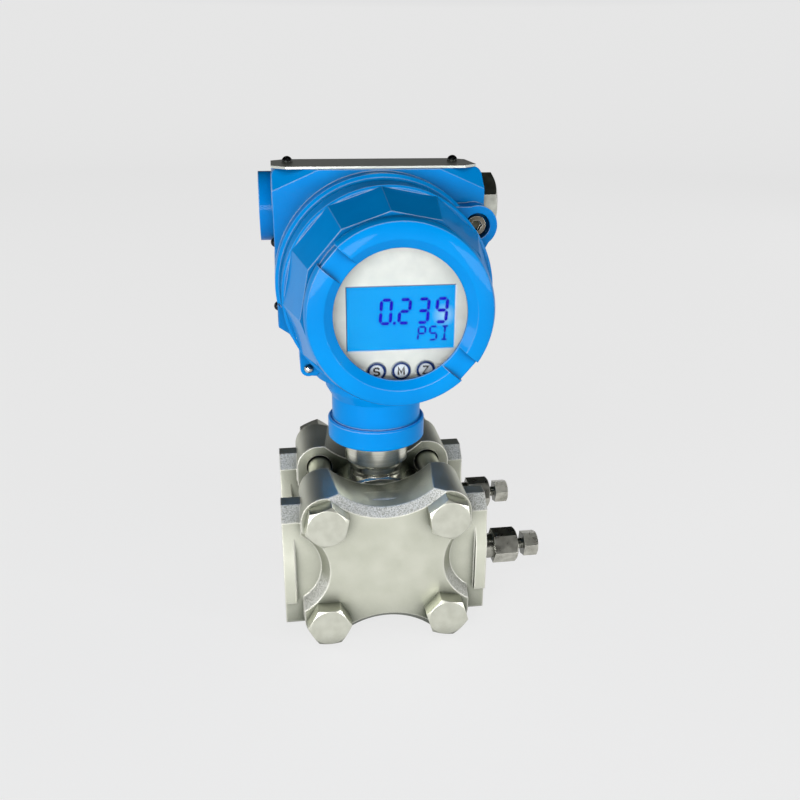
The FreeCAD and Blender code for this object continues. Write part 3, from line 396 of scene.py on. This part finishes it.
# navy print on the keys, also used for the painted shadow line round the display opening
navyInkAndShadow = mouldedPlastic("navyInkAndShadow", "#0C2A66", "#14387A", 0.4, cornerMm=0.02, shine=0.2)
# the pale colour of the painted highlight line round the display opening
paintedHighlightWhite = mouldedPlastic("paintedHighlightWhite", "#F6F8F8", "#FFFFFF", 0.4, cornerMm=0.02, shine=0.2)
blackInk = mouldedPlastic("blackInk", "#1E1614", "#2C2420", 0.45, cornerMm=0.02, shine=0.2)
segmentInk = mouldedPlastic("deepBlueSegment", "#0E08B4", "#1A12CC", 0.4, cornerMm=0.02, shine=0.1)
glass = clearGlass()
panelLight = backlitPanel()
laminate = circuitLaminate()
print("materials made")


dressSettings = {"weldMm": 0.001, "splitDeg": 28, "pieceSharpDeg": 30}


def dress(nodeName, material):
    # the frame's mesh is loose triangles, so it is welded and parted at its sharp edges by modifiers
    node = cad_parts[nodeName]
    node.data.materials.clear()
    node.data.materials.append(material)
    for polygon in node.data.polygons:
        polygon.use_smooth = True
    weld = node.modifiers.new("joinTriangles", "WELD")
    weld.merge_threshold = dressSettings["weldMm"] * mm
    part = node.modifiers.new("sharpEdges", "EDGE_SPLIT")
    part.split_angle = math.radians(dressSettings["splitDeg"])


nodeFinish = {
    "front_process_flange": castMetal, "rear_process_flange": castMetal, "flange_bolts": boltMetal,
    "flange_nuts": boltMetal, "sensor_cell": turnedMetal, "front_flange_gasket": rubber,
    "rear_flange_gasket": rubber, "front_diaphragm": turnedMetal, "rear_diaphragm": turnedMetal,
    "neck_o_ring": rubber, "front_vent_seat": ventMetal, "rear_vent_seat": ventMetal,
    "front_vent_screw": ventMetal, "rear_vent_screw": ventMetal, "housing_casting": paint,
    "front_cover": paint, "rear_cover": paint, "window_gasket": rubber, "window_glass": glass,
    "glass_retaining_ring": brightMetal, "front_cover_o_ring": rubber, "rear_cover_o_ring": rubber,
    "display_housing": canPlastic, "display_faceplate": facePlastic, "lcd_panel": panelLight,
    "left_key": keyPlastic, "middle_key": keyPlastic, "right_key": keyPlastic,
    "electronics_board": laminate, "display_screws": brightMetal, "terminal_block": blockPlastic,
    "terminal_screws": brassMetal, "ground_screw": brassMetal, "tag_plate": sheetMetal,
    "tag_plate_screws": darkMetal, "side_screws": darkMetal, "lower_lug_screw": brightMetal,
    "cover_clamp_screw": agedMetal, "swivel_set_screw": darkMetal, "conduit_plug": plugMetal,
}
for nodeName, material in nodeFinish.items():
    dress(nodeName, material)
print("frame dressed:", len(nodeFinish), "nodes")


def makePiece(name, mesh, material, body):
    data = bpy.data.meshes.new(name)
    mesh.to_mesh(data)
    mesh.free()
    data.materials.append(material)
    for polygon in data.polygons:
        polygon.use_smooth = True
    data.set_sharp_from_angle(angle=math.radians(dressSettings["pieceSharpDeg"]))
    piece = bpy.data.objects.new(name, data)
    bpy.context.scene.collection.objects.link(piece)
    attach(piece, body)


def addThin(mesh, corners, backY, thick):
    # a flat outline, its corners given as x and z, made a thin solid that stands towards the front
    verts = [mesh.verts.new((p.x * mm, backY * mm, p.y * mm)) for p in corners]
    face = mesh.faces.new(verts)
    grown = bmesh.ops.extrude_face_region(mesh, geom=[face])
    moved = [v for v in grown["geom"] if isinstance(v, bmesh.types.BMVert)]
    bmesh.ops.translate(mesh, verts=moved, vec=(0, -thick * mm, 0))


figures = {
    # places are from the neck and the covers' axis to a row's lower left corner
    "rows": (
        {"text": "0.239", "left": -7.1, "low": -5.0, "wide": 4.9, "high": 10.0, "pitch": 6.85,
         "stroke": 1.25},
        {"text": "PSI", "left": 7.5, "low": -11.5, "wide": 3.3, "high": 5.8, "pitch": 4.3,
         "stroke": 0.75},
    ),
    "slant": 0.07, "proud": 0.05, "barTrim": 0.12,
    "pointBack": 1.95, "pointLong": 1.9, "pointBold": 1.05,
}
segmentsOf = {
    "0": "abcdef", "2": "abged", "3": "abgcd", "9": "abgfcd",
    "P": "abgfe", "S": "afgcd", "I": "admn",
}


def segmentRuns(wide, high):
    # start and end of each bar of a figure, from its lower left corner
    half = high / 2
    return {
        "a": ((0, high), (wide, high)), "b": ((wide, high), (wide, half)),
        "c": ((wide, half), (wide, 0)), "d": ((0, 0), (wide, 0)),
        "e": ((0, half), (0, 0)), "f": ((0, high), (0, half)), "g": ((0, half), (wide, half)),
        "m": ((wide / 2, high), (wide / 2, half)), "n": ((wide / 2, half), (wide / 2, 0)),
    }


def addBar(mesh, start, end, stroke):
    # one hexagonal bar of the display, shortened so that neighbours stay apart
    s = figures
    run = (Vector(end) - Vector(start)).normalized()
    side = Vector((-run.y, run.x)) * stroke / 2
    first = Vector(start) + run * stroke * s["barTrim"]
    last = Vector(end) - run * stroke * s["barTrim"]
    inset = run * stroke / 2
    corners = [first, first + inset + side, last - inset + side,
               last, last - inset - side, first + inset - side]
    leaning = [Vector((neckX + p.x + s["slant"] * p.y, axisZ + p.y)) for p in corners]
    addThin(mesh, leaning, front("lcd_panel"), s["proud"])


def displayFigures():
    mesh = bmesh.new()
    for row in figures["rows"]:
        stroke = row["stroke"]
        place = 0
        for sign in row["text"]:
            corner = Vector((row["left"] + place * row["pitch"], row["low"] + stroke / 2))
            if sign == ".":
                point = corner - Vector((figures["pointBack"], 0))
                pointEnd = point + Vector((figures["pointLong"], 0))
                addBar(mesh, point, pointEnd, stroke * figures["pointBold"])
                continue
            corner.x += stroke / 2
            for name in segmentsOf[sign]:
                start, end = segmentRuns(row["wide"] - stroke, row["high"] - stroke)[name]
                addBar(mesh, corner + Vector(start), corner + Vector(end), stroke)
            place += 1
    bmesh.ops.recalc_face_normals(mesh, faces=mesh.faces)
    makePiece("displayFigures", mesh, segmentInk, "housing")


displayFigures()
print("display figures made")


keySettings = {
    "signs": {"left_key": "S", "middle_key": "M", "right_key": "Z"}, "signWide": 2.1, "signHigh": 2.8,
    "stroke": 0.7, "ringOut": 3.47, "ringIn": 2.6, "thick": 0.05,
}
# each sign's line in a unit square
signLines = {
    "S": ((0.98, 0.82), (0.72, 1), (0.28, 1), (0.03, 0.85), (0.03, 0.65), (0.28, 0.52), (0.72, 0.48),
          (0.97, 0.35), (0.97, 0.15), (0.72, 0), (0.28, 0), (0.02, 0.18)),
    "M": ((0, -0.05), (0, 1), (0.5, 0.25), (1, 1), (1, -0.05)),
    "Z": ((0, 1), (1, 1), (0, 0), (1, 0)),
}


def addStroke(mesh, points, stroke, backY, thick):
    # a drawn line of even width, with its corners mitred
    points = [Vector(point) for point in points]
    runs = [(end - start).normalized() for start, end in zip(points, points[1:])]
    sides = [Vector((-run.y, run.x)) for run in runs]
    left, right = [], []
    for index, point in enumerate(points):
        before = sides[max(index - 1, 0)]
        after = sides[min(index, len(sides) - 1)]
        mitre = (before + after).normalized()
        reach = min(1 / max(mitre.dot(after), 0.1), 1.5) * stroke / 2    # sharp corners are cut short
        left.append(point + mitre * reach)
        right.append(point - mitre * reach)
    addThin(mesh, left + right[::-1], backY, thick)
    bmesh.ops.triangulate(mesh, faces=[f for f in mesh.faces if len(f.verts) > 4])
    bmesh.ops.recalc_face_normals(mesh, faces=mesh.faces)


def addFrontRing(mesh, centre, outer, inner, backY, thick):
    # a flat printed ring that faces the display's front
    corners = ((inner, backY), (outer, backY), (outer, backY - thick), (inner, backY - thick))
    verts = [mesh.verts.new(((centre.x + r) * mm, y * mm, centre.z * mm)) for r, y in corners]
    lines = [mesh.edges.new((verts[i - 1], verts[i])) for i in range(4)]
    bmesh.ops.spin(mesh, geom=verts + lines, cent=centre * mm, axis=(0, 1, 0), angle=math.tau, steps=64,
                   use_merge=True, dvec=(0, 0, 0))
    bmesh.ops.remove_doubles(mesh, verts=mesh.verts, dist=0.001 * mm)
    bmesh.ops.recalc_face_normals(mesh, faces=mesh.faces)


def printKeys():
    s = keySettings
    size = Vector((s["signWide"], s["signHigh"]))
    for keyName, sign in s["signs"].items():
        centre = middle(keyName)
        ring = bmesh.new()
        addFrontRing(ring, centre, s["ringOut"], s["ringIn"], front(keyName), s["thick"])
        makePiece(keyName + "_ring", ring, navyInkAndShadow, keyName)
        letter = bmesh.new()
        corner = Vector((centre.x, centre.z)) - size / 2
        line = [corner + Vector(point) * size for point in signLines[sign]]
        addStroke(letter, line, s["stroke"], front(keyName), s["thick"])
        makePiece(keyName + "_sign", letter, blackInk, keyName)


printKeys()
print("keys printed")


borderSettings = {"stroke": 0.3, "out": 0.25, "proud": 0.04}


def drawBorder():
    # the panel's opening: a painted shadow line along its left and top, a painted highlight line along its
    # right and bottom
    s = borderSettings
    low, high = (Vector(corner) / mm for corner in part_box("lcd_panel"))
    left, right, bottom, top = low.x - s["out"], high.x + s["out"], low.z - s["out"], high.z + s["out"]
    lines = {
        "borderShade": (navyInkAndShadow, ((left, bottom), (left, top), (right, top))),
        "borderPaintedHighlight": (paintedHighlightWhite, ((right, top), (right, bottom), (left, bottom))),
    }
    for name, (ink, line) in lines.items():
        mesh = bmesh.new()
        addStroke(mesh, line, s["stroke"], faceY, s["proud"])
        makePiece(name, mesh, ink, "housing")


drawBorder()
print("display border made")


stageSettings = {
    # the sheet's sizes and heights are in millimetres from the floor
    "reach": 2200, "bend": 500, "bendSteps": 12, "rise": 2600, "turnSteps": 96,
    "pale": "#F0F0F0", "dark": "#1B211B", "paleBelow": 470, "darkAbove": 1050,
    "cameraLevel": 0.87, "glossFloor": 0.85, "glossWall": 0.26, "glossFade": 420, "paperShade": 0.22,
    "air": "#8E9A86", "airStrength": 0.05,
}
lampSettings = {
    # place, with its x from the neck's axis, and size in metres, then watts
    "leftSoft": ((-0.75, -1.25, 0.20), (1.8, 0.42), 17.5),
    "rightSoft": ((0.95, -1.10, 0.16), (1.0, 0.34), 6.0),
    "keyStrip": ((-0.42, -0.80, 0.62), (0.10, 0.05), 0.7),
    "glintLeft": ((-0.199, -0.230, -0.028), (0.02, 0.02), 0.06),
    "glintRight": ((0.49, -0.35, 0.25), (0.04, 0.04), 0.3),
    "overStrip": ((0.25, -0.45, 1.00), (0.4, 0.02), 0.3),
    "leftRear": ((-1.45, 0.55, 0.45), (0.9, 0.4), 2.6),
    "rightRear": ((1.45, 0.55, 0.45), (0.9, 0.4), 2.6),
}
lampAim = 0.07    # the height, in metres, of the point on the neck's axis that every lamp faces
cameraSettings = {
    # the place, the lens and its sensor in millimetres, the nearest distance in metres
    "place": (4.49, -355.62, 204.39), "yaw": 8.546, "pitch": 21.330, "roll": 0.352,
    "lens": 36.79, "sensor": 36, "nearest": 0.01,
}


def studioPaper():
    # a pale paper sweep that fades to a dark wall high up; its own paleness is for what looks
    # at it, and glossy metal sees a bright floor and a wall held down, so that it keeps contrast
    s = stageSettings
    paper, tree, shader, place = newMaterial("studioPaper", {"Roughness": 0.95, "Specular IOR Level": 0.0})
    height = addNode(tree, "ShaderNodeSeparateXYZ", links={"Vector": place}).outputs["Z"]
    fade = numberRange(tree, height, 0, 1, (floorZ + s["paleBelow"] * mm, floorZ + s["darkAbove"] * mm))
    colour = colourRange(tree, fade, linear(s["pale"]), linear(s["dark"]), (0.0, 1.0))
    rays = addNode(tree, "ShaderNodeLightPath")
    mirrored = addNode(tree, "ShaderNodeMath", {"operation": "MAXIMUM"}, {
        0: rays.outputs["Is Glossy Ray"], 1: rays.outputs["Is Transmission Ray"]}).outputs["Value"]
    level = numberRange(tree, height, s["glossFloor"], s["glossWall"],
                        (floorZ, floorZ + s["glossFade"] * mm))
    seen = addNode(tree, "ShaderNodeMath", {"operation": "MULTIPLY", 1: s["cameraLevel"]},
                   {0: rays.outputs["Is Camera Ray"]}).outputs["Value"]
    strength = addNode(tree, "ShaderNodeMath", {"operation": "MAXIMUM"},
                       {0: product(tree, mirrored, level), 1: seen})
    shade = addNode(tree, "ShaderNodeVectorMath", {"operation": "SCALE", "Scale": s["paperShade"]},
                    {0: colour})
    feed(tree, shader, {"Base Color": shade.outputs["Vector"], "Emission Color": colour,
                        "Emission Strength": strength.outputs["Value"]})
    return paper


def makeStage():
    # floor, bend and wall in one turned sheet round the part
    s = stageSettings
    mesh = bmesh.new()
    profile = [Vector((0, 0, 0)), Vector((s["reach"], 0, 0))]
    for step in range(1, s["bendSteps"] + 1):
        turn = math.radians(90 * step / s["bendSteps"])
        out, up = s["bend"] * math.sin(turn), s["bend"] * (1 - math.cos(turn))
        profile.append(Vector((s["reach"] + out, 0, up)))
    profile.append(profile[-1] + Vector((0, 0, s["rise"])))
    verts = [mesh.verts.new(point * mm) for point in profile]
    lines = [mesh.edges.new(pair) for pair in zip(verts, verts[1:])]
    bmesh.ops.spin(mesh, geom=verts + lines, cent=(0, 0, 0), axis=(0, 0, 1), angle=math.tau,
                   steps=s["turnSteps"], use_merge=True, dvec=(0, 0, 0))
    bmesh.ops.remove_doubles(mesh, verts=mesh.verts, dist=0.01 * mm)
    bmesh.ops.translate(mesh, verts=mesh.verts, vec=(neckX * mm, 0, floorZ))
    bmesh.ops.recalc_face_normals(mesh, faces=mesh.faces)
    data = bpy.data.meshes.new("studioSweep")
    mesh.to_mesh(data)
    mesh.free()
    data.materials.append(studioPaper())
    for polygon in data.polygons:
        polygon.use_smooth = True
    sweep = bpy.data.objects.new("studioSweep", data)
    bpy.context.scene.collection.objects.link(sweep)


def makeLamps():
    target = Vector((neckX * mm, 0, lampAim))
    for name, (place, size, watts) in lampSettings.items():
        data = bpy.data.lights.new(name, "AREA")
        data.shape = "RECTANGLE"
        data.size, data.size_y = size
        data.energy = watts
        lamp = bpy.data.objects.new(name, data)
        lamp.location = Vector(place) + Vector((neckX * mm, 0, 0))
        lamp.rotation_euler = (target - lamp.location).to_track_quat("-Z", "Y").to_euler()
        bpy.context.scene.collection.objects.link(lamp)
    world = bpy.data.worlds.new("studioAir")
    world.use_nodes = True
    air = world.node_tree.nodes["Background"]
    air.inputs["Color"].default_value = linear(stageSettings["air"])
    air.inputs["Strength"].default_value = stageSettings["airStrength"]
    bpy.context.scene.world = world


def makeCamera():
    s = cameraSettings
    yaw, pitch, roll = (math.radians(s[key]) for key in ("yaw", "pitch", "roll"))
    look = Vector((math.sin(yaw) * math.cos(pitch), math.cos(yaw) * math.cos(pitch), -math.sin(pitch)))
    right = Vector((math.cos(yaw), -math.sin(yaw), 0))
    up = right.cross(look)
    rightTurned = math.cos(roll) * right + math.sin(roll) * up
    upTurned = -math.sin(roll) * right + math.cos(roll) * up
    data = bpy.data.cameras.new("mainView")
    data.lens = s["lens"]
    data.sensor_width = s["sensor"]
    data.clip_start = s["nearest"]
    camera = bpy.data.objects.new("mainView", data)
    turn = Matrix((rightTurned, upTurned, -look)).transposed()
    camera.matrix_world = Matrix.Translation(Vector(s["place"]) * mm) @ turn.to_4x4()
    bpy.context.scene.collection.objects.link(camera)
    bpy.context.scene.camera = camera


makeStage()
makeLamps()
makeCamera()
bpy.context.scene.view_settings.view_transform = "Standard"
print("scene ready")
